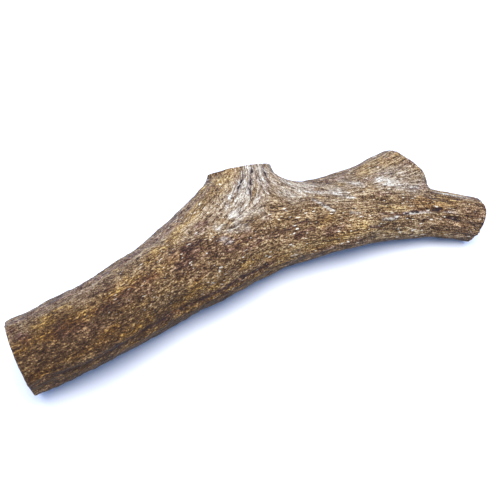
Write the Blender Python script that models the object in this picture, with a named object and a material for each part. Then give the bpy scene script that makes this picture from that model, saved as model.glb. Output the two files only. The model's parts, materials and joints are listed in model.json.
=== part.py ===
"""A sawn length of elk antler lying on a table: one thick beam that forks twice on the same side.

X runs along the piece, from the thick sawn end to the thin one, +Y is the side that both tines
grow towards, and +Z is up. The origin is the bottom centre, and the piece rests on Z = 0 on the
three points that carry it. The antler grew as one, so it is modelled as one fused body, which is
then split across the roots of its two tines and sawn off at its four ends.
"""

import math

import bmesh
import bpy
import numpy as np
from mathutils import Matrix, Vector, noise
from mathutils.geometry import intersect_point_tri_2d

MM = 0.001

# Stations of each branch, in mm: (x, y, z, half width in the fork plane, half thickness).
# Every branch starts inside the one that it grows from and runs on past its own saw cut.
BEAM = (
    (-165, -4, 19.5, 20.5, 20.5),
    (-147, -0.5, 20.5, 20.5, 20.5),
    (-110, 3.5, 23, 23, 21.5),
    (-70, 17, 23, 23, 24),
    (-30, 29.5, 23, 27.5, 22.5),
    (10, 36, 21, 23.5, 21.5),
    (50, 35.5, 21, 23.5, 19),
    (90, 29, 19, 18.5, 16),
    (120, 21.5, 16, 17, 14),
    (147, 4.5, 14, 13.5, 15),
    (162, -6, 13, 15, 14.5),
)
MIDDLE_TINE_FLANK = (
    (-110, 9, 22.5, 18, 18),
    (-72, 22, 24.5, 19, 19),
    (-42, 36.5, 26.5, 20.5, 19.5),
    (-14.5, 51, 34, 19.5, 18.5),
    (6.5, 69.5, 39.5, 19, 16),
    (12, 88, 49.5, 16.5, 15),
)
MIDDLE_TINE_RIDGE = (
    (-20, 24, 20, 24, 12),
    (-8, 38, 26, 27, 17),
    (2, 54, 33, 24, 18),
    (9, 72, 41, 19, 16.5),
    (12, 90, 50, 17, 15),
)
MIDDLE_TINE_HEEL = (
    (80, 33, 19, 15, 15),
    (58, 38, 22, 15, 16),
    (39.5, 47.5, 27.5, 14.5, 16.5),
    (24.5, 58, 33.5, 11, 14.5),
    (16, 74, 42, 12, 14),
    (14, 92, 50, 12, 13),
)
MIDDLE_TINE_LAP = (
    (16, 30, 19, 18, 12),
    (19.5, 42.5, 27, 21.5, 16.5),
    (17.5, 58.5, 33.5, 17.5, 17),
    (14, 74, 42.5, 15.5, 15.5),
    (13, 91.5, 50, 14.5, 14),
)
FORK_TINE = (
    (-30, 34, 21, 22, 19),
    (10, 45, 21.5, 23, 19.5),
    (50, 45.5, 20.5, 23.5, 19.5),
    (86, 48.5, 22.5, 20, 16.5),
    (108, 54, 24, 21.5, 15),
    (136, 57, 27.5, 16.5, 14.5),
)
FORK_CROTCH = (
    (70, 38, 20, 12, 12),
    (95, 36, 20.5, 11, 12.5),
    (110, 34, 21, 10, 12.5),
    (124, 31, 21, 7.5, 11),
)
MIDDLE_TINE = (MIDDLE_TINE_FLANK, MIDDLE_TINE_RIDGE, MIDDLE_TINE_LAP, MIDDLE_TINE_HEEL)
BRANCHES = (BEAM, *MIDDLE_TINE, FORK_TINE, FORK_CROTCH)

# The stretches of the branches that the grain of the bone follows.
GRAIN_LINES = (BEAM, MIDDLE_TINE_FLANK, MIDDLE_TINE_RIDGE[2:], MIDDLE_TINE_HEEL, FORK_TINE)

# Single ridges and furrows of the surface, in mm: the points that each runs through, its half
# width, and its height, which is below zero for a furrow.
RIDGES = (
    (((-7, 33, 43), (-1, 41, 46), (6, 49, 50), (11, 60, 54), (12, 72, 56)), 3.0, 0.9),
    (((-9, 42, 48), (-2, 51, 52), (3, 60, 55), (5, 72, 57)), 2.0, -1.0),
    (((12, 54, 50), (15, 62, 52), (16, 72, 54)), 2.0, -0.8),
    (((20, 55, 48), (20, 68, 52)), 2.0, 0.7),
    (((27, 57, 48), (37, 46, 42), (48, 35, 37), (60, 22, 33)), 2.5, 0.8),
    (((81, 18, 32), (107, 9, 30), (122, 6, 31), (130, 5, 31)), 1.8, -1.0),
    (((83, 15, 31), (111, 6, 28), (127, -1, 28), (146, -6, 27)), 1.8, 0.8),
    (((78, 3, 24), (88, 3, 25), (98, 3, 26)), 1.8, -0.8),
    (((112, 2, 25), (126, -5, 24), (140, -10, 20)), 1.8, -0.9),
)

# The furrows that follow the grain of the bone, and the swellings between them, in mm. A furrow
# reaches that far each way along the grain, and no relief is steeper than its spread times so much.
GRAIN_REACH = 21.0
GRAIN_STEP = 7.0
GRAIN_BLEND = 9.0
FURROW_WIDTH = 8.0
FURROW_DEPTH = 0.42
SWELLING_WIDTH = 17.0
SWELLING_HEIGHT = 0.35
STEEPEST = 2.2

# Where each branch is sawn off, in mm, the way the sawn face looks, and the block that saws it.
SAW_CUTS = {
    "thick_end": ((-146, 1, 21), (-0.99, -0.02, -0.145)),
    "thin_end": ((144.5, 2, 16), (0.92, -0.27, -0.29)),
    "middle_tine": ((11, 78, 42.5), (0.095, 0.73, 0.675)),
    "fork_tine": ((122.5, 56, 26), (0.905, 0.37, 0.205)),
}
SAW_BLOCK = (90, 90, 40)

# Where the body is split across the root of each tine, the way that leads out of it, and the
# size of the block of space that the tine fills. The kerf is the gap that the split leaves.
ROOT_SPLITS = {
    "middle_tine": ((2, 63, 30), (-0.1, 0.98, 0.2), (96, 90, 70)),
    "fork_tine": ((99, 53, 22), (0.47, 0.88, 0.0), (92, 90, 70)),
}
KERF = 0.3

# How finely the body is made: rings of the branches and voxels of the skin in mm, the rounds of
# smoothing that grow over the creases, the triangles that are left in the end, and the turns that
# it may take to come to rest.
RING_SIDES = 48
RING_STEP = 3.0
FUSE_VOXEL = 1.4
GROW_OVER = 60
TRIANGLES = 9200
SETTLE_TURNS = 6


def smooth_stations(stations, step):
    """The stations joined by a Catmull-Rom curve, with a ring about every step along it."""
    points = np.array(stations, float)
    ends = np.vstack([2 * points[0] - points[1], points, 2 * points[-1] - points[-2]])
    rings = []
    for i in range(1, len(ends) - 2):
        before, start, end, after = ends[i - 1 : i + 3]
        count = max(2, round(np.linalg.norm(end[:3] - start[:3]) / step))
        for t in np.arange(count) / count:
            linear = (end - before) * t
            square = (2 * before - 5 * start + 4 * end - after) * t**2
            cube = (3 * start - before - 3 * end + after) * t**3
            rings.append(0.5 * (2 * start + linear + square + cube))
    rings.append(points[-1])
    return np.array(rings)


def add_branch(bm, stations):
    """A closed tube of oval rings through the stations, square to the line that they follow."""
    rings = smooth_stations(stations, RING_STEP)
    along = np.gradient(rings[:, :3], axis=0)
    along /= np.linalg.norm(along, axis=1)[:, None]
    across = np.cross([0, 0, 1], along)
    across /= np.linalg.norm(across, axis=1)[:, None]
    up = np.cross(along, across)
    turn = np.arange(RING_SIDES) * 2 * math.pi / RING_SIDES
    loops = []
    for ring, side, top in zip(rings, across, up):
        wide = ring[3] * np.cos(turn)[:, None] * side
        high = ring[4] * np.sin(turn)[:, None] * top
        loops.append([bm.verts.new(Vector(p) * MM) for p in ring[:3] + wide + high])
    for first, second in zip(loops, loops[1:]):
        for k in range(RING_SIDES):
            n = (k + 1) % RING_SIDES
            bm.faces.new((first[k], first[n], second[n], second[k]))
    bm.faces.new(list(reversed(loops[0])))
    bm.faces.new(loops[-1])


def applied(obj):
    """A new mesh with the object's modifiers applied, in the object's own space."""
    graph = bpy.context.evaluated_depsgraph_get()
    return bpy.data.meshes.new_from_object(obj.evaluated_get(graph))


def scene_object(name, mesh):
    """A new object with the mesh, in the scene."""
    obj = bpy.data.objects.new(name, mesh)
    bpy.context.scene.collection.objects.link(obj)
    return obj


def fused_branches():
    """All branches as one skin, with the creases between them grown over."""
    bm = bmesh.new()
    for stations in BRANCHES:
        add_branch(bm, stations)
    bmesh.ops.recalc_face_normals(bm, faces=bm.faces)
    mesh = bpy.data.meshes.new("branches")
    bm.to_mesh(mesh)
    bm.free()
    obj = scene_object("fused_branches", mesh)
    fuse = obj.modifiers.new("Fuse", "REMESH")
    fuse.mode = "VOXEL"
    fuse.voxel_size = FUSE_VOXEL * MM
    soften = obj.modifiers.new("Grow over", "SMOOTH")
    soften.iterations = GROW_OVER
    soften.factor = 0.5
    fused = applied(obj)
    bpy.data.objects.remove(obj)
    return fused


def grain_at(points):
    """The line that the bone grew along at each point, and how far the lines near it agree."""
    lines = [smooth_stations(stations, RING_STEP)[:, :3] for stations in GRAIN_LINES]
    along = np.vstack([np.gradient(line, axis=0) for line in lines])
    along /= np.linalg.norm(along, axis=1)[:, None]
    outer = along[:, :, None] * along[:, None, :]
    square = ((points[:, None, :] - np.vstack(lines)[None, :, :]) ** 2).sum(2)
    square -= square.min(1)[:, None]
    weight = np.exp(-square / (2 * GRAIN_BLEND**2))
    blend = np.einsum("pl,lij->pij", weight, outer)
    strength, axes = np.linalg.eigh(blend)
    agreement = (strength[:, 2] - strength[:, 1]) / strength[:, 2]
    return axes[:, :, 2], agreement**2


def streaks(points, grain, width):
    """Noise of the given width, drawn out along the grain and evened to a spread of one."""
    total = np.zeros(len(points))
    for reach in np.arange(-GRAIN_REACH, GRAIN_REACH + 1, GRAIN_STEP):
        total += [noise.noise(Vector(p)) for p in (points + grain * reach) / width]
    return np.clip((total - total.mean()) / total.std(), -STEEPEST, STEEPEST)


def swellings(points, width):
    """Round noise of the given width, evened to a spread of one."""
    values = np.array([noise.noise(Vector(p)) for p in points / width])
    return np.clip((values - values.mean()) / values.std(), -STEEPEST, STEEPEST)


def ridge_height(points, path, half_width, height):
    """The height of one ridge over each point: full on its path, and fading on both sides."""
    nearest = np.full(len(points), np.inf)
    for start, end in zip(np.array(path[:-1], float), np.array(path[1:], float)):
        run = end - start
        share = np.clip((points - start) @ run / (run @ run), 0, 1)
        gap = ((points - start - share[:, None] * run) ** 2).sum(1)
        nearest = np.minimum(nearest, gap)
    return height * np.exp(-nearest / (2 * half_width**2))


def raise_relief(mesh):
    """Moves the skin out and in along its normals: the furrows, the swellings and the ridges."""
    count = len(mesh.vertices)
    points = np.empty(count * 3)
    mesh.vertices.foreach_get("co", points)
    points = points.reshape(-1, 3) / MM
    normals = np.array([v.normal[:] for v in mesh.vertices])
    grain, agreement = grain_at(points)
    height = FURROW_DEPTH * agreement * streaks(points, grain, FURROW_WIDTH)
    height += SWELLING_HEIGHT * swellings(points, SWELLING_WIDTH)
    for path, half_width, rise in RIDGES:
        height += ridge_height(points, path, half_width, rise)
    points += normals * height[:, None]
    mesh.vertices.foreach_set("co", (points * MM).ravel())
    mesh.update()


def thinned(mesh, triangles):
    """The same skin with about the given number of triangles."""
    obj = scene_object("thinned", mesh)
    mesh.calc_loop_triangles()
    thin = obj.modifiers.new("Thin", "DECIMATE")
    thin.ratio = triangles / len(mesh.loop_triangles)
    thin.use_collapse_triangulate = True
    result = applied(obj)
    bpy.data.objects.remove(obj)
    return result


def block(name, point, facing, size, back=0.0):
    """A block of space that starts at the point, or that far back, and fills the way it faces."""
    bm = bmesh.new()
    bmesh.ops.create_cube(bm, size=1.0)
    mesh = bpy.data.meshes.new(name)
    bm.to_mesh(mesh)
    bm.free()
    mesh.transform(Matrix.Diagonal((*(side * MM for side in size), 1.0)))
    normal = Vector(facing).normalized()
    turn = normal.to_track_quat("Z", "Y").to_matrix().to_4x4()
    middle = (Vector(point) + normal * (size[2] / 2 - back)) * MM
    mesh.transform(Matrix.Translation(middle) @ turn)
    obj = scene_object(name, mesh)
    obj.hide_render = True
    obj.display_type = "WIRE"
    return obj


def cut(obj, cutter, operation):
    """Adds the cut as a modifier, so that the body itself stays whole underneath."""
    boolean = obj.modifiers.new(cutter.name, "BOOLEAN")
    boolean.operation = operation
    boolean.object = cutter
    boolean.solver = "EXACT"


def bone(name, colour, roughness):
    """A plain bone material."""
    made = bpy.data.materials.new(name)
    made.use_nodes = True
    shader = made.node_tree.nodes["Principled BSDF"]
    shader.inputs["Base Color"].default_value = (*colour, 1.0)
    shader.inputs["Roughness"].default_value = roughness
    shader.inputs["Metallic"].default_value = 0.0
    return made


def node(name, body, material):
    """One smooth-shaded node that starts out as the whole body, ready to be cut."""
    obj = scene_object(name, body.copy())
    obj.data.name = name
    obj.data.materials.append(material)
    obj.data.polygons.foreach_set("use_smooth", [True] * len(obj.data.polygons))
    return obj


def corners_of(nodes):
    """The corners of all triangles of the nodes as they are once cut."""
    corners = []
    for obj in nodes:
        mesh = applied(obj)
        mesh.calc_loop_triangles()
        points = np.array([v.co[:] for v in mesh.vertices])
        corners.append(points[[t.vertices[:] for t in mesh.loop_triangles]])
        bpy.data.meshes.remove(mesh)
    return np.vstack(corners)


def centre_of_mass(corners):
    """The middle of the volume inside the triangles."""
    volume = np.einsum("ti,ti->t", corners[:, 0], np.cross(corners[:, 1], corners[:, 2]))
    return Vector((volume[:, None] * corners.sum(1)).sum(0) / (4 * volume.sum()))


def resting_turn(corners):
    """The turn that lays the piece on the face of its convex hull below its centre of mass."""
    centre = centre_of_mass(corners)
    bm = bmesh.new()
    for point in np.unique(corners.reshape(-1, 3), axis=0):
        bm.verts.new(point)
    hull = bmesh.ops.convex_hull(bm, input=bm.verts)["geom"]
    faces = [f for f in hull if isinstance(f, bmesh.types.BMFace)]
    turn = Matrix.Identity(3)
    for _ in range(SETTLE_TURNS):
        for face in faces:
            a, b, c = (turn @ v.co for v in face.verts)
            out = (b - a).cross(c - a).normalized()
            if out.dot(a - turn @ centre) < 0:
                out.negate()
            below = (turn @ centre).xy
            if out.z < 0 and intersect_point_tri_2d(below, a.xy, b.xy, c.xy):
                turn = out.rotation_difference(Vector((0, 0, -1))).to_matrix() @ turn
                break
    bm.free()
    return turn


def set_down(nodes, cutters):
    """Lays everything down as it comes to rest, with the box around it centred on the origin."""
    corners = corners_of(nodes)
    turn = resting_turn(corners)
    points = corners.reshape(-1, 3) @ np.array(turn).T
    low, high = points.min(0), points.max(0)
    shift = Matrix.Translation((-(low[0] + high[0]) / 2, -(low[1] + high[1]) / 2, -low[2]))
    for obj in [*nodes, *cutters]:
        obj.data.transform(shift @ turn.to_4x4())


def main():
    for obj in list(bpy.data.objects):
        bpy.data.objects.remove(obj)
    skin = fused_branches()
    raise_relief(skin)
    body = thinned(skin, TRIANGLES)
    beam = node("beam", body, bone("beam_bone", (0.27, 0.17, 0.08), 0.55))
    middle_tine = node("middle_tine", body, bone("middle_tine_bone", (0.36, 0.27, 0.17), 0.5))
    fork_tine = node("fork_tine", body, bone("fork_tine_bone", (0.33, 0.24, 0.15), 0.55))
    saws = {name: block(f"saw_{name}", *face, SAW_BLOCK) for name, face in SAW_CUTS.items()}
    cutters = list(saws.values())
    for tine in (middle_tine, fork_tine):
        point, facing, size = ROOT_SPLITS[tine.name]
        root = block(f"root_{tine.name}", point, facing, size)
        kerf = block(f"kerf_{tine.name}", point, facing, size, KERF)
        cutters += [root, kerf]
        cut(tine, root, "INTERSECT")
        cut(tine, saws[tine.name], "DIFFERENCE")
        cut(beam, kerf, "DIFFERENCE")
    cut(beam, saws["thick_end"], "DIFFERENCE")
    cut(beam, saws["thin_end"], "DIFFERENCE")
    set_down([beam, middle_tine, fork_tine], cutters)


main()
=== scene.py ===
import json

import bmesh
import bpy
import numpy as np
from mathutils import Matrix, Vector
from mathutils.kdtree import KDTree


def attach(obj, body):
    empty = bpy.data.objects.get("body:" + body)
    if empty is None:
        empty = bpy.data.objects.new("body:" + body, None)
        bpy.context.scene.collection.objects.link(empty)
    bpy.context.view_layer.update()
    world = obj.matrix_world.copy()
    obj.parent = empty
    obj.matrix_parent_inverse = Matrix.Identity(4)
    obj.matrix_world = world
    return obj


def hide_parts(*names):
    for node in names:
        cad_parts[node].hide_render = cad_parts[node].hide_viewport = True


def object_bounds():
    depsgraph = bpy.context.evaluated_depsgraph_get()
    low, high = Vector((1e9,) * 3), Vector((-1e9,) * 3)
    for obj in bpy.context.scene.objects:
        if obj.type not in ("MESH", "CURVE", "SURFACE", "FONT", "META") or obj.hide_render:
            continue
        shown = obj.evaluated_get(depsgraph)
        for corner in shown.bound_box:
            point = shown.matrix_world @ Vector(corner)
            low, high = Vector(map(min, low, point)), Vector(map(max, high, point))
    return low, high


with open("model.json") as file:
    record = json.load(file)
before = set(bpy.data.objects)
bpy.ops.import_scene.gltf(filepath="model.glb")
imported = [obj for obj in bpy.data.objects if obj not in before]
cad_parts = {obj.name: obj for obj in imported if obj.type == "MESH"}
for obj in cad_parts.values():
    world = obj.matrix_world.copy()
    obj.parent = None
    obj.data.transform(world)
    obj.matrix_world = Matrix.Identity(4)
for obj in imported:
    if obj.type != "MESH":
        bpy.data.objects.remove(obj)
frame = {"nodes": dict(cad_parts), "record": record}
cad_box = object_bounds()

MM = 0.001

# The antler was laid on its resting points after it was drawn, so marks and centre lines are in
# the mm of the drawing, and this turn and shift lay them down with it.
LAID_TURN = np.array(((0.99997, 0.0, 0.00723), (0.0, 0.99998, 0.00693), (-0.00723, -0.00693, 0.99995)))
LAID_SHIFT = np.array((-1.14, -33.44, 0.68))

# The centre lines that the bone grew along, in mm: the beam, the middle tine from the thick end's
# side, from within and from the thin end's side, and the fork tine.
GROWTH_LINES = (
    ((-165, -4, 19.5), (-147, -0.5, 20.5), (-110, 3.5, 23), (-70, 17, 23), (-30, 29.5, 23),
     (10, 36, 21), (50, 35.5, 21), (90, 29, 19), (120, 21.5, 16), (147, 4.5, 14), (162, -6, 13)),
    ((-110, 9, 22.5), (-72, 22, 24.5), (-42, 36.5, 26.5), (-14.5, 51, 34), (6.5, 69.5, 39.5),
     (12, 88, 49.5)),
    ((2, 54, 33), (9, 72, 41), (12, 90, 50)),
    ((80, 33, 19), (58, 38, 22), (39.5, 47.5, 27.5), (24.5, 58, 33.5), (16, 74, 42), (14, 92, 50)),
    ((-30, 34, 21), (10, 45, 21.5), (50, 45.5, 20.5), (86, 48.5, 22.5), (108, 54, 24), (136, 57, 27.5)),
)

# The steps along those lines, and how far they blend into each other, in mm.
LINE_STEP = 3.0
GROWTH_BLEND = 9.0

# Cracks, ridges and grooves that have both a shape and a colour, in mm.
STUMP_CRACK_LEFT = ((7, 60, 53), (3, 56, 52), (-1, 51, 51), (-6, 46, 50))
STUMP_CRACK_MIDDLE = ((14, 63, 54), (11, 57, 52), (7, 51, 51), (6, 45, 50))
STUMP_CRACK_RIGHT = ((22, 65, 53), (21, 58, 51), (21, 53, 49))
NECK_RIDGE = ((29.5, 52.5, 48), (34, 47.5, 45), (39, 40.5, 42.5), (44.5, 31.5, 41), (52, 24.5, 37))
FORK_RIDGE = ((40, 41.5, 43), (47.5, 38, 41.5), (55.5, 37, 39), (63, 35, 37.5), (69, 32.5, 36.5))
LONG_CRACK = ((81, 18, 31.5), (92, 15.5, 29), (103, 14, 28.5), (119, 11.5, 27), (126, 8.5, 26))
THIN_CRACK = ((125, 5, 24), (129, 2, 22), (136, -3, 21), (141, -7, 18))
BACK_GROOVE = ((-1, 17, 38), (9, 19, 36), (24, 22, 37), (34, 24, 37))
SHORT_CRACK = ((72, 13, 27.5), (78, 12, 26), (84, 12.5, 25.5))
FLANK_GROOVE = (
    (-144, -22, 21), (-135, -21, 23), (-113, -19, 22), (-100, -18, 24), (-91, -14, 24),
    (-81, -11, 24), (-71, -8, 24), (-50, -1, 23), (-35, 1, 23), (-18, 6, 24),
)

# Single ridges and furrows, in mm: the half width of each, its height, and the points that it
# runs through.
RIDGES = (
    (2.0, 1.0, (12, 64, 56), (9, 60, 54), (5, 54, 52), (1, 48, 51), (-3, 44, 49), (-7, 39, 47)),
    (1.2, -1.4, *STUMP_CRACK_LEFT),
    (1.2, -1.4, *STUMP_CRACK_MIDDLE),
    (1.2, 0.5, (17, 64, 54), (15, 58, 51), (13, 52, 50)),
    (1.2, -1.0, *STUMP_CRACK_RIGHT),
    (1.5, 0.7, *NECK_RIDGE),
    (1.5, -0.4, (24, 49, 47), (28, 44, 44), (33, 34, 42), (39, 27, 39)),
    (1.0, 0.4, *FORK_RIDGE),
    (0.9, -1.2, *LONG_CRACK),
    (1.0, 0.6, (79, 15, 30), (93, 14, 28), (108, 11, 27), (126, 6, 25), (134, 0, 23), (142, -6, 22)),
    (0.9, -1.0, *SHORT_CRACK),
    (0.9, -1.1, *THIN_CRACK),
    (1.3, -0.8, *FLANK_GROOVE, (-2, 10, 23)),
    (1.2, -0.4, *BACK_GROOVE),
    (3.0, -1.7, (-13, 69.5, 48.5), (-10, 71.5, 49.5), (-7.5, 71.5, 51), (-5, 70.5, 52)),
    (2.6, 1.6, (121.5, 39, 33.5), (123, 36, 31.5), (123.5, 33, 30.5)),
)

# How the skin is made, in mm: the growth past each saw cut, the voxels and the smoothing rounds.
# Corners are welded where their mm agree to so many digits.
WELD_DIGITS = 3
OVERGROWTH = 7.0
SKIN_SWELL = 0.25
FUSE_VOXEL = 0.8
FUSE_ROUNDS = 45
SKIN_VOXEL = 0.52
SKIN_ROUNDS = 2
SMOOTHING = 0.5
SKIN_TRIANGLES = 194000

# The saw cuts, in mm: how far each one reaches from its middle, and how much it takes away.
SAW_REACH = {"thick_end_cut": 30.0, "thin_end_cut": 22.0, "middle_tine_cut": 24.0, "fork_tine_cut": 21.5}
SAW_DEPTH = 30.0

# How a sawn face is told from the skin: by the distance from its plane and from its rim, in mm,
# and by how squarely the surface looks its way. Its rim is found in slots around its middle.
ON_PLANE = 0.02
NEAR_CUT = 1.2
ON_CUT = 0.15
SQUARE = 0.9
NEARLY_SQUARE = 0.7
WELL_INSIDE = 1.5
PAST_RIM = 0.4
RIM_SLOTS = 180

# The pores and the marks of the saw in a sawn face, in mm. Both fade in from the rim. Pores open
# where their noise is high, and the marks run straight but for a slow sway.
PORE_SIZE = 1.5
PORE_DEPTH = 0.45
PORE_OPENING = (0.0, 0.45)
PORE_FADE = (3.5, 6.0)
SAW_MARK_PITCH = 2.3
SAW_MARK_DEPTH = 0.05
SAW_MARK_FADE = (0.4, 1.5)
SAW_MARK_WAY = (0.34, 0.45, 0.82)
SAW_MARK_SWAY = 0.8
SAW_MARK_SWAY_SIZE = 9
PORE_SEED = 23
SAW_MARK_SEED = 29

# The kinds of relief on the bone: the width of each in mm, how far it is drawn out each way along
# the growth, and the seed of its noise.
FURROWS = (7.0, 18.0, 1)
CRACKS = (2.6, 8.0, 2)
PEBBLES = (1.3, 1.1, 3)
THREADS = (1.2, 6.0, 4)
LUMPS = (3.0, 3.5, 5)
RAGGED_EDGES = (2.0, 4.0, 11)

# How high each kind stands, in mm for a spread of one. The spread is cut off at a limit, and
# cracks are where their noise is within a limit of nothing.
FURROW_HEIGHT = 0.19
LUMP_HEIGHT = 0.08
PEBBLE_HEIGHT = 0.15
THREAD_HEIGHT = 0.14
CRACK_DEPTH = 0.22
SPREAD_LIMIT = 2.2
CRACK_LIMIT = 0.3

# Pebbled bark gives way to threads over this stretch of the beam, in mm, and worn places are
# smoother than the rest.
BARK_FADE = (-60, 60)
BARK_LOSS = 0.75
BARE_CALM = 0.6

# Large odd numbers that scatter the cells of the noise, and the turn of its cells.
SCATTER = (374761393, 668265263, 2246822519, 3266489917)
LOW_BITS = 0xFFFFFFFF
LATTICE_TURN = np.array(((0.36, 0.48, -0.8), (-0.8, 0.6, 0.0), (0.48, 0.64, 0.6)))

# Marks of the colour, in mm: how strong each is, its half width, and the points that it runs
# through. Worn places show bare bone; pale ones are the young bone of the tines, and one is painted
# light along the top of the thick beam; ochre ones are golden, and one is painted light bounced up
# along the lower front edge; crevices are thin, nearly black painted shade in the cracks and grooves;
# and dark ones are a deeper brown, some of them painted shade along grooves, cracks and edges.
WORN = (
    (1.0, 2.2, (11, 64.5, 56), (6, 58.5, 52.5), (-0.5, 50.5, 51), (-6.5, 44.5, 49.5)),
    (1.0, 3.6, (-6.5, 44.5, 49.5), (-9.5, 40, 47.5), (-9, 33.5, 45), (-9, 29, 43.5)),
    (0.7, 2.6, (-22, 29, 45), (-14, 27, 44), (-6, 27, 43)),
    (0.5, 2.2, (-22, 20, 43), (-19, 19, 42)),
    (0.25, 4.0, (4, 39, 47), (8, 33, 44)),
    (0.95, 2.8, (94, 40.5, 37.5), (99, 38, 36), (103.5, 35, 34.5), (108.5, 32.5, 33.5), (113, 30, 32)),
    (0.5, 2.0, (68.5, 48, 39), (73.5, 43, 39), (79.5, 39, 38)),
    (0.22, 8.0, (98, 42, 37), (114, 38, 34)),
    (0.5, 8.5, (17, 60, 52), (10, 54, 50), (2, 47, 48), (-6, 40, 46)),
    (0.65, 1.1, *NECK_RIDGE),
    (0.9, 1.0, *FORK_RIDGE),
    (0.7, 0.8, (62, 22, 35), (68, 20, 34)),
    (0.8, 0.9, (81, 14, 29), (87.5, 13.5, 28.5), (92, 14, 28)),
    (0.7, 0.8, (97.5, 14.5, 28.5), (111, 12, 27.5), (123.5, 8.5, 26), (131, 4.5, 25)),
    (0.4, 6.0, (31, 46, 45), (46, 42, 42), (60, 38, 39)),
    (0.5, 2.5, (21, 63, 53), (23, 57, 50), (26, 50, 48)),
    (0.5, 1.2, (127, 26, 28), (135, 20, 28), (144, 11, 28)),
)
PALE_AND_TOP_LIGHT = (
    (0.9, 15.5, (3, 52, 45), (12, 62, 50)),
    (0.9, 12.0, (-42, 36, 42), (-22, 44, 46)),
    (1.0, 10.0, (30, 46, 41), (56, 42, 38), (74, 44, 37)),
    (0.85, 15.0, (92, 54, 38), (116, 56, 38)),
    (1.0, 9.0, (92, 42, 37), (104, 38, 35), (116, 33, 32)),
    # Painted light: a pale strip along the top of the thick beam.
    (0.6, 10.0, (-150, 6, 38), (-110, 12, 43), (-75, 25, 45), (-50, 38, 44)),
)
OCHRE_AND_BOUNCE_LIGHT = (
    (1.0, 3.5, (-133, -1, 42), (-126, -1, 43), (-117, 2, 45)),
    (0.9, 3.5, (-119, -7, 42), (-112, -5, 42), (-105, -3, 43)),
    (0.7, 3.0, (-102, -1, 43), (-94, 1, 44), (-81, 8, 45)),
    (0.8, 3.5, (-146, -11, 38), (-139, -10, 39), (-128, -9, 40)),
    (0.8, 3.5, (-67, 17, 46), (-56, 24, 47), (-44, 33, 46)),
    (0.8, 3.5, (-43, 39, 46), (-34, 43, 47), (-22, 50, 50)),
    (0.8, 6.5, (-15, 56, 52), (-7, 62, 52), (2, 64, 54)),
    (1.0, 4.0, (-91, -15, 29), (-85, -12, 29), (-77, -9, 30)),
    (1.0, 2.5, (-141, -21, 26), (-136, -21, 26), (-130, -21, 26)),
    (1.0, 4.0, (-59, -2, 26), (-51, 0, 29), (-42, 2, 33)),
    (0.9, 3.5, (-41, 2, 31), (-30, 4, 29)),
    (0.9, 3.5, (-14, 9, 30), (-1, 13, 28), (15, 14, 24)),
    (1.0, 3.5, (30, 14, 22), (41, 14, 24), (54, 13, 26)),
    (0.8, 2.5, (42, 20, 34), (49, 22, 35)),
    (0.8, 3.5, (58, 14, 28), (69, 14, 28)),
    (0.9, 6.0, (89, 52, 38), (102, 57, 39), (114, 58, 39)),
    (0.9, 5.0, (112, 18, 30), (130, 14, 28)),
    (0.6, 5.0, (-80, 5, 44), (-68, 8, 44)),
    (0.7, 3.0, (-105, -16, 33), (-96, -13, 34)),
    # Painted light: a strip along the lower front edge, where the floor's light bounces up.
    (0.8, 0.8, (-142, -20, 15), (-130, -19, 17), (-113, -19, 19), (-91, -14, 20), (-71, -8, 20),
     (-49, -2, 19), (-26, 2, 22), (0, 10, 19), (25, 14, 19)),
)
# Painted shade: near-black lines in the cracks and grooves.
CREVICE_SHADE = (
    (0.9, 0.9, *STUMP_CRACK_LEFT),
    (0.9, 0.8, *STUMP_CRACK_MIDDLE),
    (0.7, 0.7, *STUMP_CRACK_RIGHT),
    (1.0, 0.8, (83, 17.5, 31.5), (87.5, 16, 30), (92, 15.5, 29)),
    (1.0, 0.8, (98, 14.5, 28.5), (103, 14, 28.5), (107, 13, 28)),
    (1.0, 0.8, (117, 12, 27), (122.5, 10.5, 26.5), (125, 8.5, 26.5)),
    (1.0, 0.8, (72, 13, 27.5), (78, 12, 26), (83, 12.5, 25.5)),
    (1.0, 0.8, *THIN_CRACK),
    (0.6, 0.8, *FLANK_GROOVE, (-2, 10, 23)),
    (0.4, 0.7, *BACK_GROOVE),
)
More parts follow.
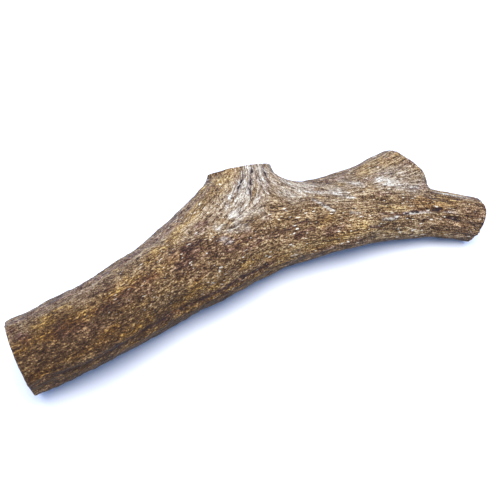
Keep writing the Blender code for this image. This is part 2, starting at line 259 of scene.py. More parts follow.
# Some dark marks are the bone's own deeper brown; those along the grooves, the cracks, the lower front
# edge and the upper back edge are painted shade.
DARK_AND_SHADE = (
    (1.0, 2.2, (-146, 0, 41), (-143, -5, 41), (-140, -7, 40)),
    (0.9, 3.5, (-86, -1, 43), (-80, 1, 43), (-74, 2, 43)),
    (0.9, 2.5, (-76, 4, 45), (-72, 5, 44), (-67, 7, 44)),
    (0.8, 4.0, (-123, -10, 41), (-118, -9, 41), (-113, -9, 40)),
    (0.7, 3.5, (-101, -4, 43), (-94, -3, 43), (-88, -2, 43)),
    # Painted shade along the groove and dark band of the lower flank.
    (1.0, 1.3, *FLANK_GROOVE, (6, 13, 22)),
    (0.9, 2.5, (24, 18, 33), (29, 18, 33), (34, 19, 34)),
    (0.9, 2.2, (-34, 33, 46), (-28, 35, 46)),
    (1.0, 7.0, (-50, 13, 44), (-38, 17, 44)),
    (0.8, 6.0, (-29, 15, 41), (-16, 17, 40), (-5, 18, 39)),
    # Painted shade: a thin dark line along the upper back edge.
    (0.8, 1.2, (-145, 7, 40), (-129, 10, 41), (-113, 12, 43), (-95, 18, 44), (-75, 27, 44),
     (-53, 44, 41), (-30, 54, 46)),
    # Painted shade along the back groove and the long, short and thin cracks.
    (0.9, 0.8, *BACK_GROOVE),
    (1.0, 0.9, *LONG_CRACK),
    (1.0, 0.8, *SHORT_CRACK),
    (1.0, 0.8, *THIN_CRACK),
    (0.8, 0.8, (91, 48, 38), (98, 45, 38)),
    # Painted shade along the stump's cracks.
    (1.0, 1.0, *STUMP_CRACK_LEFT),
    (1.0, 0.9, *STUMP_CRACK_MIDDLE),
    (0.8, 0.9, *STUMP_CRACK_RIGHT),
    (0.6, 3.5, (45, 15, 31), (56, 17, 31)),
    # Painted shade: the dark band along the lower front edge, going on from the flank groove.
    (0.7, 2.5, (25, 14, 18), (45, 13, 19), (65, 11, 19)),
    (0.35, 12.0, (112, 12, 24), (128, 6, 22), (142, -2, 20)),
)

# How marks lie on the bone: the steps of their paths in mm, how many half widths they reach, how
# fast they fade and how much their edges are broken up.
TRACE_STEP = 2.0
MARK_REACH = 4
MARK_FADE = 0.7
RAGGEDNESS = 0.5
PALE_RAGGED = 0.3
CREVICE_SHADE_RAGGED = 1.4

# Where the bone turns young and veined, in mm along the beam, and where it faces down, which is
# darkened as painted shade. Higher places count as younger, by so many mm along the beam for each mm
# over the middle height, which paints the top lighter as painted light.
YOUNG_FADE = (-90, 60)
TOP_LIGHT_RISE = 3
MIDDLE_HEIGHT = 25
VEINED_FADE = (0, 80)
PAINTED_UNDER_SHADE_FADE = (-0.2, 0.75)

# The fine relief from its lowest to its highest, in mm, and the points that are worked on at once.
FINE_SPAN = 0.9
POINTS_AT_ONCE = 20000


def corner_points(mesh):
    """The places of the mesh's corners, in mm."""
    points = np.empty(len(mesh.vertices) * 3)
    mesh.vertices.foreach_get("co", points)
    return points.reshape(-1, 3) / MM


def place_points(mesh, points):
    """Moves the mesh's corners to places that are given in mm."""
    mesh.vertices.foreach_set("co", (points * MM).ravel())
    mesh.update()


def point_normals(mesh):
    """The way that the mesh looks at each corner."""
    normals = np.empty(len(mesh.vertices) * 3)
    mesh.vertices.foreach_get("normal", normals)
    return normals.reshape(-1, 3)


def corner_triangles(mesh):
    """The three corners of each triangle."""
    mesh.calc_loop_triangles()
    corners = np.empty(len(mesh.loop_triangles) * 3, int)
    mesh.loop_triangles.foreach_get("vertices", corners)
    return corners.reshape(-1, 3)


def lifted(points):
    """Points of the laid antler, back where they were drawn."""
    return (points - LAID_SHIFT) @ LAID_TURN


def placed(name, data):
    """A new object in the scene."""
    thing = bpy.data.objects.new(name, data)
    bpy.context.scene.collection.objects.link(thing)
    return thing


def shaped(name, operation, **sizes):
    """A new mesh from one bmesh operation."""
    bm = bmesh.new()
    operation(bm, **sizes)
    mesh = bpy.data.meshes.new(name)
    bm.to_mesh(mesh)
    bm.free()
    return mesh


def worked(mesh, kind, **settings):
    """The mesh after one modifier."""
    worker = placed("worker", mesh)
    modifier = worker.modifiers.new("work", kind)
    for name, value in settings.items():
        setattr(modifier, name, value)
    bpy.context.view_layer.update()
    result = bpy.data.meshes.new_from_object(worker.evaluated_get(bpy.context.evaluated_depsgraph_get()))
    bpy.data.objects.remove(worker)
    bpy.data.meshes.remove(mesh)
    return result


def eased(value, low, high):
    """Rises smoothly from 0 at the low value to 1 at the high one."""
    share = np.clip((value - low) / (high - low), 0, 1)
    return share * share * (3 - 2 * share)


def runs(path):
    """How far along a path each of its points is."""
    return np.concatenate([[0], np.cumsum(np.linalg.norm(np.diff(path, axis=0), axis=1))])


def spaced(path, steps):
    """The points that are the given distances along a path."""
    return np.stack([np.interp(steps, runs(path), path[:, k]) for k in range(3)], 1)


def growth_field(points):
    """The line that the bone grew along at each drawn point, and how far the lines there agree."""
    line_points, line_ways = [], []
    for line in GROWTH_LINES:
        line = np.array(line, float)
        dense = spaced(line, np.arange(0, runs(line)[-1], LINE_STEP))
        ways = np.gradient(dense, axis=0)
        line_points.append(dense)
        line_ways.append(ways / np.linalg.norm(ways, axis=1)[:, None])
    line_points, line_ways = np.vstack(line_points), np.vstack(line_ways)
    outer = (line_ways[:, :, None] * line_ways[:, None, :]).reshape(-1, 9)
    axis, agreement = np.empty((len(points), 3)), np.empty(len(points))
    for start in range(0, len(points), POINTS_AT_ONCE):
        part = slice(start, start + POINTS_AT_ONCE)
        square = ((points[part, None, :] - line_points) ** 2).sum(2)
        square -= square.min(1)[:, None]
        weight = np.exp(-square / (2 * GROWTH_BLEND**2))
        strength, axes = np.linalg.eigh((weight @ outer).reshape(-1, 3, 3))
        agreement[part] = ((strength[:, 2] - strength[:, 1]) / strength[:, 2]) ** 2
        axis[part] = axes[:, :, 2]
    axis *= np.where(axis[:, 0] < 0, -1, 1)[:, None]
    return axis, agreement


def lattice(cells, seed):
    """A fixed number from -1 to 1 for each whole-numbered cell."""
    x, y, z = cells[..., 0], cells[..., 1], cells[..., 2]
    value = (x * SCATTER[0] + y * SCATTER[1] + z * SCATTER[2] + seed * SCATTER[3]) & LOW_BITS
    value = ((value ^ (value >> 15)) * SCATTER[2]) & LOW_BITS
    value = ((value ^ (value >> 13)) * SCATTER[3]) & LOW_BITS
    value ^= value >> 16
    return value / 2.0**31 - 1.0


def noise(points, seed):
    """Smooth noise with a grain of about one unit."""
    points = points @ LATTICE_TURN
    cells = np.floor(points).astype(np.int64)
    share = points - cells
    share = share**3 * (share * (share * 6 - 15) + 10)
    total = np.zeros(len(points))
    for corner in np.ndindex(2, 2, 2):
        weight = np.prod(np.where(corner, share, 1 - share), axis=1)
        total += weight * lattice(cells + corner, seed)
    return total


def drawn_out(points, growth, width, reach, seed):
    """Noise of the given width, drawn out that far each way along the growth, with a spread of one."""
    count = max(1, round(reach / width))
    shifts = [growth * (reach * k / count) for k in range(-count, count + 1)]
    total = sum(noise((points + shift) / width, seed) for shift in shifts)
    return (total - total.mean()) / total.std()


def traced(points, paths):
    """Each path in short steps, with every step on the nearest of the points."""
    tree = KDTree(len(points))
    for k, point in enumerate(points):
        tree.insert(point, k)
    tree.balance()
    found = []
    for path in paths:
        path = np.array(path, float)
        length = runs(path)[-1]
        dense = spaced(path, np.linspace(0, length, max(2, round(length / TRACE_STEP))))
        found.append(np.array([tree.find(point)[0] for point in dense]))
    return found


def near_path(points, path, reach):
    """The distance of each point from a path, where it is less than the reach."""
    gaps = np.full(len(points), np.inf)
    near = ((points > path.min(0) - reach) & (points < path.max(0) + reach)).all(1)
    close = points[near]
    nearest = np.full(len(close), np.inf)
    for start, end in zip(path[:-1], path[1:]):
        run = end - start
        share = np.clip((close - start) @ run / (run @ run + 1e-9), 0, 1)
        nearest = np.minimum(nearest, ((close - start - share[:, None] * run) ** 2).sum(1))
    gaps[near] = np.sqrt(nearest)
    return gaps


def covered(points, marks, ragged):
    """How strongly the marks cover each drawn point, with edges that the ragged noise breaks up."""
    cover = np.zeros(len(points))
    for (strength, half_width, *_), path in zip(marks, traced(points, [mark[2:] for mark in marks])):
        gap = near_path(points, path, MARK_REACH * half_width) / half_width
        cover = np.maximum(cover, strength * np.exp(-MARK_FADE * gap**3))
    return np.clip(cover * (1 + RAGGEDNESS * ragged), 0, 1)


def relief(points):
    """The height of the skin over each drawn point, in mm, and the fine part of that height."""
    growth, agreement = growth_field(points)
    bark = 1 - BARK_LOSS * eased(points[:, 0], *BARK_FADE)
    bare = covered(points, WORN, 0.0)
    furrows = np.clip(drawn_out(points, growth, *FURROWS), -SPREAD_LIMIT, SPREAD_LIMIT)
    pebbles = np.clip(drawn_out(points, growth, *PEBBLES), -SPREAD_LIMIT, SPREAD_LIMIT)
    threads = np.clip(drawn_out(points, growth, *THREADS), -SPREAD_LIMIT, SPREAD_LIMIT)
    lumps = drawn_out(points, growth, *LUMPS)
    cracks = np.abs(drawn_out(points, growth, *CRACKS))
    cracks = np.clip(CRACK_LIMIT - cracks, 0, CRACK_LIMIT) / CRACK_LIMIT
    fine = bark * pebbles * PEBBLE_HEIGHT + (1 - bark) * threads * THREAD_HEIGHT
    fine = (fine - CRACK_DEPTH * cracks) * (1 - BARE_CALM * bare)
    height = FURROW_HEIGHT * agreement * furrows + LUMP_HEIGHT * lumps + fine
    for (half_width, rise, *_), path in zip(RIDGES, traced(points, [mark[2:] for mark in RIDGES])):
        gap = near_path(points, path, MARK_REACH * half_width)
        height += rise * np.exp(-(gap**2) / (2 * half_width**2))
    return height, fine


def sawn_planes():
    """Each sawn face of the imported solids: its middle in mm, the way it looks and its reach."""
    planes = []
    for mount in frame["record"]["mounts"]:
        middle, facing = np.array(mount["pos_m"]) / MM, np.array(mount["axis"])
        planes.append((middle, facing / np.linalg.norm(facing), SAW_REACH[mount["name"]]))
    return planes


def sawn_share(points, normals):
    """How far each laid point is inside a sawn face, in mm from its rim, and below zero elsewhere."""
    inset = np.full(len(points), -1.0)
    for middle, facing, reach in sawn_planes():
        side = np.cross(facing, (0, 0, 1))
        side /= np.linalg.norm(side)
        up = np.cross(facing, side)
        gap = points - middle
        depth, flat = np.abs(gap @ facing), np.hypot(gap @ side, gap @ up)
        turn = np.arctan2(gap @ up, gap @ side)
        square = normals @ facing
        near = (depth < NEAR_CUT) & (flat < reach)
        face = near & (depth < ON_CUT) & (square > SQUARE)
        slot = ((turn / (2 * np.pi) + 0.5) * RIM_SLOTS).astype(int) % RIM_SLOTS
        rim = np.zeros(RIM_SLOTS)
        np.maximum.at(rim, slot[face], flat[face])
        rim = np.maximum(rim, 0.5 * (np.roll(rim, 1) + np.roll(rim, -1)))
        within = rim[slot] - flat
        on_face = near & ((within > WELL_INSIDE) | ((square > NEARLY_SQUARE) & (within > -PAST_RIM)))
        inset[on_face] = np.maximum(within[on_face], 0.0)
    return inset


def pores(points, inset):
    """How open the spongy core of a sawn face is at each laid point, from 0 to 1."""
    return eased(inset, *PORE_FADE) * eased(noise(points / PORE_SIZE, PORE_SEED), *PORE_OPENING)


def sawn_depth(points, inset):
    """How deep the pores and the marks of the saw are at each laid point, in mm."""
    sway = SAW_MARK_SWAY * noise(points / SAW_MARK_SWAY_SIZE, SAW_MARK_SEED)
    run = points @ np.array(SAW_MARK_WAY) + sway
    marks = SAW_MARK_DEPTH * eased(inset, *SAW_MARK_FADE) * (1 + np.sin(2 * np.pi * run / SAW_MARK_PITCH))
    return marks + PORE_DEPTH * pores(points, inset)


def saw_block(middle, facing, reach):
    """The block of space that one saw cut takes away."""
    mesh = shaped("saw", bmesh.ops.create_cube, size=1.0)
    facing = Vector(facing)
    sides = (2 * reach * MM, 2 * reach * MM, SAW_DEPTH * MM, 1.0)
    turn = facing.to_track_quat("Z", "Y").to_matrix().to_4x4()
    centre = Vector(middle * MM) + facing * (SAW_DEPTH / 2 * MM)
    mesh.transform(Matrix.Translation(centre) @ turn @ Matrix.Diagonal(sides))
    return placed("saw", mesh)


def joined_solids():
    """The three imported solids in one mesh, with their corners welded."""
    parts, triangles, count = [], [], 0
    for node in frame["nodes"].values():
        points, corners = corner_points(node.data), corner_triangles(node.data)
        welded, same = np.unique(points.round(WELD_DIGITS), axis=0, return_inverse=True)
        parts.append(welded)
        triangles.append(same.reshape(-1)[corners] + count)
        count += len(welded)
    mesh = bpy.data.meshes.new("joined")
    mesh.from_pydata(np.vstack(parts) * MM, [], np.vstack(triangles).tolist())
    mesh.update()
    return mesh


def overgrown(mesh):
    """Swells the skin over the splits and lets each branch grow on past its saw cut."""
    points = corner_points(mesh)
    swelled = points + point_normals(mesh) * SKIN_SWELL
    for middle, facing, reach in sawn_planes():
        gap = points - middle
        on_cut = (np.abs(gap @ facing) < ON_PLANE) & (np.linalg.norm(gap, axis=1) < reach)
        way, _ = growth_field(lifted(middle[None, :]))
        way = (way @ LAID_TURN.T)[0]
        way /= way @ facing
        swelled[on_cut] += way * OVERGROWTH
    place_points(mesh, swelled)
    return mesh


def antler_mesh():
    """The whole skin of the antler: fused, overgrown, given its relief, sawn and rounded at the rims."""
    mesh = overgrown(joined_solids())
    mesh = worked(mesh, "REMESH", mode="VOXEL", voxel_size=FUSE_VOXEL * MM)
    mesh = worked(mesh, "SMOOTH", factor=SMOOTHING, iterations=FUSE_ROUNDS)
    mesh = worked(mesh, "REMESH", mode="VOXEL", voxel_size=SKIN_VOXEL * MM)
    mesh = worked(mesh, "SMOOTH", factor=SMOOTHING, iterations=SKIN_ROUNDS)
    points = corner_points(mesh)
    height, _ = relief(lifted(points))
    place_points(mesh, points + point_normals(mesh) * height[:, None])
    for plane in sawn_planes():
        block = saw_block(*plane)
        mesh = worked(mesh, "BOOLEAN", operation="DIFFERENCE", solver="MANIFOLD", object=block)
        bpy.data.objects.remove(block)
    mesh = worked(mesh, "REMESH", mode="VOXEL", voxel_size=SKIN_VOXEL * MM)
    mesh = worked(mesh, "SMOOTH", factor=SMOOTHING, iterations=SKIN_ROUNDS)
    points, normals = corner_points(mesh), point_normals(mesh)
    place_points(mesh, points - normals * sawn_depth(points, sawn_share(points, normals))[:, None])
    count = len(corner_triangles(mesh))
    return worked(mesh, "DECIMATE", ratio=SKIN_TRIANGLES / count, use_collapse_triangulate=True)


def give(mesh, name, values):
    """Writes one value or direction for each point of the mesh, for the materials to read."""
    if values.ndim == 2:
        mesh.attributes.new(name, "FLOAT_VECTOR", "POINT").data.foreach_set("vector", values.ravel())
    else:
        mesh.attributes.new(name, "FLOAT", "POINT").data.foreach_set("value", values)


def give_marks(mesh, points):
    """Gives the skin its growth, its fine relief, its age, and its marks; the age also paints the top
    lighter as painted light, and some marks are painted light and shade.
    """
    drawn = lifted(points)
    growth, _ = growth_field(drawn)
    _, fine = relief(drawn)
    ragged = drawn_out(drawn, growth, *RAGGED_EDGES)
    # Painted light: higher places count as younger, so the top takes the paler young palette.
    age_and_top_light = drawn[:, 0] + TOP_LIGHT_RISE * (drawn[:, 2] - MIDDLE_HEIGHT)
    give(mesh, "growth", growth @ LAID_TURN.T)
    give(mesh, "fine", 0.5 + fine / FINE_SPAN)
    give(mesh, "young_and_top_light", eased(age_and_top_light, *YOUNG_FADE))
    give(mesh, "veined", eased(drawn[:, 0], *VEINED_FADE))
    # Painted shade: how far the bone faces down, to darken its underside.
    give(mesh, "painted_under_shade", eased(-point_normals(mesh)[:, 2], *PAINTED_UNDER_SHADE_FADE))
    give(mesh, "pale_and_top_light", covered(drawn, PALE_AND_TOP_LIGHT, PALE_RAGGED * ragged))
    give(mesh, "worn", covered(drawn, WORN, ragged))
    give(mesh, "dark", covered(drawn, DARK_AND_SHADE, ragged))
    give(mesh, "ochre_and_bounce_light", covered(drawn, OCHRE_AND_BOUNCE_LIGHT, ragged))
    give(mesh, "crevice_shade", covered(drawn, CREVICE_SHADE, CREVICE_SHADE_RAGGED * ragged))


def antler():
    """The antler, kept inside the box of its solids, with its skin and its sawn faces."""
    mesh = antler_mesh()
    mesh.name = "antler"
    low, high = (np.array(corner) / MM for corner in cad_box)
    place_points(mesh, np.clip(corner_points(mesh), low, high))
    points = corner_points(mesh)
    give_marks(mesh, points)
    inset = sawn_share(points, point_normals(mesh))
    give(mesh, "inset", np.maximum(inset, 0))
    give(mesh, "pores", pores(points, inset))
    mesh.shade_smooth()
    mesh.materials.clear()
    mesh.materials.append(grown_surface())
    mesh.materials.append(sawn_bone())
    sawn = (inset[corner_triangles(mesh)] >= 0).all(1)
    mesh.polygons.foreach_set("material_index", sawn.astype(int))
    return placed("antler", mesh)


def feed(tree, socket, value):
    """Wires a socket to the input, or sets a plain value on it."""
    if isinstance(value, bpy.types.NodeSocket):
        tree.links.new(value, socket)
    else:
        socket.default_value = value


def put(tree, kind, settings=None, **inputs):
    """Adds a node and feeds its inputs. A name like _0 is an input's place instead of its name."""
    node = tree.nodes.new(kind)
    for name, value in (settings or {}).items():
        setattr(node, name, value)
    for name, value in inputs.items():
        feed(tree, node.inputs[int(name[1:])] if name[0] == "_" else node.inputs[name], value)
    return node


def sums(tree, operation, *values):
    """One step of arithmetic on two or three values."""
    inputs = {f"_{place}": value for place, value in enumerate(values)}
    return put(tree, "ShaderNodeMath", {"operation": operation}, **inputs).outputs[0]


def read(tree, name):
    """What was given to the mesh under this name: the direction of the growth, or a value."""
    node = put(tree, "ShaderNodeAttribute", {"attribute_name": name})
    return node.outputs["Vector"] if name == "growth" else node.outputs["Fac"]


def mixed(tree, share, first, second, blend="MIX"):
    """The colour mixed from the first to the second by the share."""
    settings = {"data_type": "RGBA", "blend_type": blend}
    return put(tree, "ShaderNodeMix", settings, _0=share, _6=first, _7=second).outputs[2]


def mixed_value(tree, share, first, second):
    """The value mixed from the first to the second by the share."""
    return put(tree, "ShaderNodeMix", None, _0=share, _2=first, _3=second).outputs[0]


def stepped(tree, value, start, full):
    """Rises smoothly from 0 where the value is at the start to 1 where it is full."""
    return put(tree, "ShaderNodeMapRange", {"interpolation_type": "SMOOTHSTEP"}, Value=value,
               **{"From Min": start, "From Max": full}).outputs[0]


def summed(tree, values, weights):
    """Values around a half, each with its weight, as one value around a half."""
    total = 0.5
    for value, weight in zip(values, weights):
        total = sums(tree, "MULTIPLY_ADD", sums(tree, "SUBTRACT", value, 0.5), weight, total)
    return total


def linear(*rgb):
    """A colour given as 0 to 255 on screen, in the shader's own scale, by the standard screen curve."""
    share = np.array(rgb) / 255
    value = np.where(share <= 0.04045, share / 12.92, ((share + 0.055) / 1.055) ** 2.4)
    return (*(float(v) for v in value), 1.0)


def ramp(tree, share, stops):
    """The colour that the stops give at a share, each stop with its place and its colour."""
    node = tree.nodes.new("ShaderNodeValToRGB")
    tree.links.new(share, node.inputs[0])
    while len(node.color_ramp.elements) < len(stops):
        node.color_ramp.elements.new(1.0)
    for element, (place, colour) in zip(node.color_ramp.elements, stops):
        element.position, element.color = place, linear(*colour)
    return node.outputs[0]


# The noises of the colour: the width of each in mm, how far it is drawn out each way along the
# growth, the shift that sets it apart from the others, and its contrast.
PEBBLE_GRAIN = (1.0, 0.7, 3.1, 3.4)
THREAD_GRAIN = (0.8, 4.2, 7.7, 5.0)
SPECK_GRAIN = (0.6, 0.2, 1.3, 3.0)
BLOT_GRAIN = (3.2, 2.4, 2.2, 3.4)
CLOUD_GRAIN = (7.0, 8.0, 5.0, 3.4)
DRIFT_GRAIN = (6.0, 9.0, 11.0, 3.0)
CHIP_GRAIN = (1.3, 1.0, 17.0, 3.4)
GAP_GRAIN = (1.4, 1.0, 21.0, 3.4)
CORE_GRAIN = (4.0, 1.0, 2.0, 3.4)
STAIN_GRAIN = (7.0, 1.0, 9.0, 3.4)
NOISE_STEPS = 4


def growth_noise():
    """A node group: noise drawn out along the growth of the bone, as a value from 0 to 1."""
    tree = bpy.data.node_groups.new("growth_noise", "ShaderNodeTree")
    tree.interface.new_socket("Growth", in_out="INPUT", socket_type="NodeSocketVector")
    for name in ("Width", "Reach", "Shift", "Contrast"):
        tree.interface.new_socket(name, in_out="INPUT", socket_type="NodeSocketFloat")
    tree.interface.new_socket("Value", in_out="OUTPUT", socket_type="NodeSocketFloat")
    given = tree.nodes.new("NodeGroupInput").outputs
    place = put(tree, "ShaderNodeTexCoord").outputs["Object"]
    scale = sums(tree, "DIVIDE", 1.0, given["Width"])
    scaling, adding = {"operation": "SCALE"}, {"operation": "ADD"}
    values = []
    for k in range(-NOISE_STEPS, NOISE_STEPS + 1):
        step = sums(tree, "MULTIPLY", given["Reach"], k / NOISE_STEPS)
        move = put(tree, "ShaderNodeVectorMath", scaling, _0=given["Growth"], Scale=step).outputs[0]
        spot = put(tree, "ShaderNodeVectorMath", adding, _0=place, _1=move).outputs[0]
        spot = put(tree, "ShaderNodeVectorMath", scaling, _0=spot, Scale=scale).outputs[0]
        grain = put(tree, "ShaderNodeTexNoise", {"noise_dimensions": "4D"}, Vector=spot, W=given["Shift"],
                    Scale=1.0, Detail=1.0, Roughness=0.5)
        values.append(grain.outputs[0])
    total = values[0]
    for value in values[1:]:
        total = sums(tree, "ADD", total, value)
    centred = sums(tree, "MULTIPLY_ADD", total, 1 / len(values), -0.5)
    spread = sums(tree, "MULTIPLY_ADD", centred, given["Contrast"], 0.5)
    end = tree.nodes.new("NodeGroupOutput")
    tree.links.new(spread, end.inputs["Value"])
    return tree


def drawn_noise(tree, width, reach, shift, contrast):
    """The growth noise, placed in a material with its own sizes in mm."""
    node = tree.nodes.new("ShaderNodeGroup")
    node.node_tree = bpy.data.node_groups.get("growth_noise") or growth_noise()
    tree.links.new(read(tree, "growth"), node.inputs["Growth"])
    sizes = {"Width": width * MM, "Reach": reach * MM, "Shift": shift, "Contrast": contrast}
    for name, value in sizes.items():
        node.inputs[name].default_value = value
    return node.outputs["Value"]


def new_material(name):
    """A new material and its shader."""
    material = bpy.data.materials.new(name)
    material.use_nodes = True
    return material, material.node_tree.nodes["Principled BSDF"]


# The colours of the bone at each stop of its tone, from the darkest to the palest: the old bark of
# the thick end, the young skin of the thin one, the tines and worn bone.
STOPS = (0.0, 0.09, 0.33, 0.5, 0.67, 0.91, 1.0)
OLD = ((34, 17, 5), (46, 26, 8), (56, 36, 15), (69, 47, 23), (85, 61, 36), (115, 85, 51), (153, 121, 76))
YOUNG = ((35, 20, 10), (53, 33, 15), (78, 54, 29), (102, 77, 45), (130, 100, 65), (168, 140, 97),
         (195, 171, 127))
TINE = ((52, 38, 23), (71, 51, 33), (101, 77, 52), (126, 102, 73), (145, 122, 91), (169, 147, 118),
        (185, 168, 140))
BARE = ((107, 94, 78), (131, 114, 97), (160, 144, 123), (183, 169, 147), (200, 191, 168),
        (219, 212, 192), (232, 230, 213))
# Painted shade: the near-black brown of the cracks.
CREVICE_SHADE_BROWN = (42, 31, 28)
CREAM = (214, 200, 172)
GOLD_TINT = (1.3, 1.17, 0.62, 1.0)
PLUM_TINT = (0.85, 0.75, 0.94, 1.0)
# Painted shade: the tint that darkens the bone where it faces down.
PAINTED_UNDER_SHADE_TINT = (0.43, 0.41, 0.46, 1.0)

# How much pebbles, threads and specks tell in the grit of plain and of veined bone, and how much
# grit, fine relief, blots and clouds tell in the tone. Dark marks, some of them painted shade, lower
# the tone, and pale bone, with the painted light along the top, is partly veined.
PLAIN_GRIT = (0.85, 0.35, 0.6)
VEINED_GRIT = (0.55, 1.2, 0.7)
TONE = (1.0, 0.2, 0.32, 0.3)
DARK_TONE = -0.12
PALE_VEINS = 0.7

# Threads break up the bare bone. Drifts of gold and of plum lie over the rest, with less gold on
# young bone and on the painted light of the top. Chips are cream spots, gaps break up the painted
# shade of the crevices, and golden places and the painted bounce light are spared the painted shade
# where the bone faces down. Each pair is where it starts and where it is full.
BARE_THREADS = (0.3, 0.65)
BARE_BREAKS = 0.6
GOLD_DRIFT = (0.5, 0.85)
PLUM_DRIFT = (0.5, 0.15)
DRIFT_SHARE = 0.6
YOUNG_GOLD_LOSS = -0.45
CHIP_EDGE = (0.86, 1.0)
GAP_EDGE = (0.72, 0.4)
SHADE_SPARED_ON_OCHRE = -0.8

# The finish of the skin, which is rougher where it is pale, and its bump in mm.
SKIN_ROUGHNESS = 0.48
TONE_ROUGHNESS = 0.15
SKIN_SHEEN = 0.12
SKIN_BUMP = 0.3


def shades(tree, tone, colours):
    """The colour that a palette has for a tone."""
    return ramp(tree, tone, tuple(zip(STOPS, colours)))


def tinted(tree, share, colour, tint):
    """The colour multiplied by a tint, by the share."""
    return mixed(tree, share, colour, tint, "MULTIPLY")


def grown_surface():
    """The skin that grew: pebbled brown bark, paler threads on young bone, worn places and cracks, with
    painted shade in the cracks, grooves and underside and painted light on the top and along the lower
    edge.
    """
    material, shader = new_material("grown_surface")
    tree = material.node_tree
    young_and_top_light, painted_under_shade, fine, pale_and_top_light = (read(tree, name) for name in ("young_and_top_light", "painted_under_shade", "fine", "pale_and_top_light"))
    worn, dark, ochre_and_bounce_light, crevice_shade = (read(tree, name) for name in ("worn", "dark", "ochre_and_bounce_light", "crevice_shade"))
    pebbles, threads = drawn_noise(tree, *PEBBLE_GRAIN), drawn_noise(tree, *THREAD_GRAIN)
    specks, blots = drawn_noise(tree, *SPECK_GRAIN), drawn_noise(tree, *BLOT_GRAIN)
    clouds = drawn_noise(tree, *CLOUD_GRAIN)
    veined = sums(tree, "MAXIMUM", read(tree, "veined"), sums(tree, "MULTIPLY", pale_and_top_light, PALE_VEINS))
    plain_grit = summed(tree, (pebbles, threads, specks), PLAIN_GRIT)
    veined_grit = summed(tree, (pebbles, threads, specks), VEINED_GRIT)
    grit = mixed_value(tree, veined, plain_grit, veined_grit)
    tone = summed(tree, (grit, fine, blots, clouds), TONE)
    # Dark marks lower the tone: deeper brown bone, and painted shade along cracks, grooves and edges.
    tone = sums(tree, "MULTIPLY_ADD", dark, DARK_TONE, tone)
    # The young palette also lies on the top of the bone as painted light.
    colour = mixed(tree, young_and_top_light, shades(tree, tone, OLD), shades(tree, tone, YOUNG))
    # Pale tines, and the painted light along the top of the thick beam.
    colour = mixed(tree, pale_and_top_light, colour, shades(tree, tone, TINE))

    whole = sums(tree, "MULTIPLY_ADD", stepped(tree, threads, *BARE_THREADS), BARE_BREAKS, 1 - BARE_BREAKS)
    bare = sums(tree, "MULTIPLY", worn, whole)
    grown = sums(tree, "SUBTRACT", 1.0, bare)
    colour = mixed(tree, bare, colour, shades(tree, tone, BARE))

    drifts = drawn_noise(tree, *DRIFT_GRAIN)
    gold_drift = sums(tree, "MULTIPLY", stepped(tree, drifts, *GOLD_DRIFT), DRIFT_SHARE)
    plum_drift = sums(tree, "MULTIPLY", stepped(tree, drifts, *PLUM_DRIFT), DRIFT_SHARE)
    gold, plum = sums(tree, "MAXIMUM", ochre_and_bounce_light, gold_drift), sums(tree, "MAXIMUM", dark, plum_drift)
    gold_share = sums(tree, "MULTIPLY", gold, sums(tree, "MULTIPLY_ADD", young_and_top_light, YOUNG_GOLD_LOSS, grown))
    colour = tinted(tree, gold_share, colour, GOLD_TINT)
    colour = tinted(tree, sums(tree, "MULTIPLY", plum, grown), colour, PLUM_TINT)

    chips = stepped(tree, drawn_noise(tree, *CHIP_GRAIN), *CHIP_EDGE)
    chipped = sums(tree, "MULTIPLY", chips, sums(tree, "MULTIPLY", young_and_top_light, grown))
    colour = mixed(tree, chipped, colour, linear(*CREAM))
    # Painted shade on the underside, lighter on the golden places and the painted bounce light.
    shaded = sums(tree, "MULTIPLY", painted_under_shade, sums(tree, "MULTIPLY_ADD", ochre_and_bounce_light, SHADE_SPARED_ON_OCHRE, 1.0))
    colour = tinted(tree, shaded, colour, PAINTED_UNDER_SHADE_TINT)
    # Painted shade in the cracks, broken up by gaps.
    unbroken = stepped(tree, drawn_noise(tree, *GAP_GRAIN), *GAP_EDGE)
    colour = mixed(tree, sums(tree, "MULTIPLY", crevice_shade, unbroken), colour, linear(*CREVICE_SHADE_BROWN))

    rough = sums(tree, "MULTIPLY_ADD", tone, TONE_ROUGHNESS, SKIN_ROUGHNESS)
    bump = put(tree, "ShaderNodeBump", None, Height=grit, Strength=1.0, Distance=SKIN_BUMP * MM)
    shader.inputs["Specular IOR Level"].default_value = SKIN_SHEEN
    tree.links.new(colour, shader.inputs["Base Color"])
    tree.links.new(rough, shader.inputs["Roughness"])
    tree.links.new(bump.outputs[0], shader.inputs["Normal"])
    return material


# The colours of a sawn face over its outermost mm and in its spongy core, with painted shade in its pores
# and holes.
RIM = ((0.0, (78, 58, 42)), (0.3, (150, 126, 96)), (0.8, (196, 180, 150)), (1.0, (200, 185, 156)))
CORE_BROWN = (172, 147, 114)
STAIN_TINT = (0.78, 0.66, 0.5, 1.0)
# Painted shade: the dark brown of the pores and holes.
PORE_SHADE_BROWN = (88, 66, 48)

# The core starts at a wandering distance from the rim, in mm. Small holes and pores lie in it, and
# stains lie over all of the face. Each pair is where it starts and where it is full.
CORE_FADE = (3.0, 5.5)
CORE_WANDER = 3.0
HOLE_SIZE = 1.0
HOLE_EDGE = (0.5, 0.25)
HOLE_SHARE = 0.7
STAIN_EDGE = (0.4, 0.9)
STAIN_SHARE = 0.6
PORE_SHARE = 0.8

# The finish of a sawn face, which is rougher in its hollows, and its bump in mm.
SAWN_ROUGHNESS = 0.5
HOLLOW_ROUGHNESS = 0.25
SAWN_SHEEN = 0.15
SAWN_BUMP = 0.4
WANDER_BUMP = 0.1


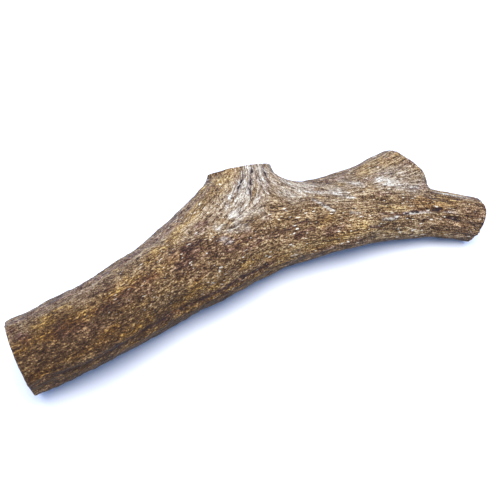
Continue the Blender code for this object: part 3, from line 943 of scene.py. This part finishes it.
def sawn_bone():
    """A sawn face: a dark skin, a dense cream ring and a spongy core of pores and thin walls, with painted
    shade in the pores and holes.
    """
    material, shader = new_material("sawn_bone")
    tree = material.node_tree
    inset, open_pores = read(tree, "inset"), read(tree, "pores")
    wander, stains = drawn_noise(tree, *CORE_GRAIN), drawn_noise(tree, *STAIN_GRAIN)
    inner = sums(tree, "MULTIPLY_ADD", wander, CORE_WANDER, sums(tree, "SUBTRACT", inset, CORE_WANDER / 2))
    spongy = stepped(tree, inner, *CORE_FADE)
    place = put(tree, "ShaderNodeTexCoord").outputs["Object"]
    cells = put(tree, "ShaderNodeTexVoronoi", None, Vector=place, Scale=1 / (HOLE_SIZE * MM))
    holes = sums(tree, "MULTIPLY", stepped(tree, cells.outputs["Distance"], *HOLE_EDGE), spongy)
    hollow = sums(tree, "MAXIMUM", open_pores, sums(tree, "MULTIPLY", holes, HOLE_SHARE))

    colour = mixed(tree, spongy, ramp(tree, inset, RIM), linear(*CORE_BROWN))
    stained = sums(tree, "MULTIPLY", stepped(tree, stains, *STAIN_EDGE), STAIN_SHARE)
    colour = tinted(tree, stained, colour, STAIN_TINT)
    # Painted shade in the pores and holes.
    colour = mixed(tree, sums(tree, "MULTIPLY", hollow, PORE_SHARE), colour, linear(*PORE_SHADE_BROWN))

    rough = sums(tree, "MULTIPLY_ADD", hollow, HOLLOW_ROUGHNESS, SAWN_ROUGHNESS)
    height = sums(tree, "MULTIPLY_ADD", holes, -1.0, sums(tree, "MULTIPLY", wander, WANDER_BUMP))
    bump = put(tree, "ShaderNodeBump", None, Height=height, Strength=1.0, Distance=SAWN_BUMP * MM)
    shader.inputs["Specular IOR Level"].default_value = SAWN_SHEEN
    tree.links.new(colour, shader.inputs["Base Color"])
    tree.links.new(rough, shader.inputs["Roughness"])
    tree.links.new(bump.outputs[0], shader.inputs["Normal"])
    return material


# The studio, in mm and watts.
FLOOR_SIZE = 3000
FLOOR_GREY = (0.8, 0.8, 0.8, 1)
FLOOR_ROUGHNESS = 0.7
SKY_BLUE = (0.37, 0.55, 1.0, 1)
SKY_STRENGTH = 1.6
LAMP_SIZE = (1400, 1200)
LAMP_PLACE = (-100, -340, 1200)
LAMP_POWER = 26
LAMP_CREAM = (1.0, 0.93, 0.8)
CAMERA_PLACE = (-131.87, -308.48, 335.84)
CAMERA_AIM = (5.93, 16.16, 0)
CAMERA_CLIP = (10, 20000)
LENS = 54.0
SENSOR = 36.0


def studio():
    """The pale floor, the blue sky, one soft lamp, and the camera at the photograph's angle."""
    sheet = shaped("floor", bmesh.ops.create_grid, x_segments=2, y_segments=2, size=FLOOR_SIZE * MM)
    floor = placed("floor", sheet)
    white, shader = new_material("floor_white")
    shader.inputs["Base Color"].default_value = FLOOR_GREY
    shader.inputs["Roughness"].default_value = FLOOR_ROUGHNESS
    sheet.materials.append(white)

    world = bpy.data.worlds.new("studio")
    world.use_nodes = True
    sky = world.node_tree.nodes["Background"]
    sky.inputs["Color"].default_value = SKY_BLUE
    sky.inputs["Strength"].default_value = SKY_STRENGTH
    bpy.context.scene.world = world

    light = bpy.data.lights.new("lamp", "AREA")
    light.shape = "RECTANGLE"
    light.size, light.size_y = (side * MM for side in LAMP_SIZE)
    light.energy = LAMP_POWER
    light.color = LAMP_CREAM
    placed("lamp", light).location = Vector(LAMP_PLACE) * MM

    lens = bpy.data.cameras.new("camera")
    lens.lens, lens.sensor_width = LENS, SENSOR
    lens.clip_start, lens.clip_end = (gap * MM for gap in CAMERA_CLIP)
    camera = placed("camera", lens)
    camera.location = Vector(CAMERA_PLACE) * MM
    look = Vector(CAMERA_AIM) * MM - camera.location
    camera.rotation_euler = look.to_track_quat("-Z", "Y").to_euler()
    bpy.context.scene.camera = camera
    bpy.context.scene.view_settings.view_transform = "Standard"


piece = antler()
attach(piece, "root")
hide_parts("beam", "middle_tine", "fork_tine")
studio()
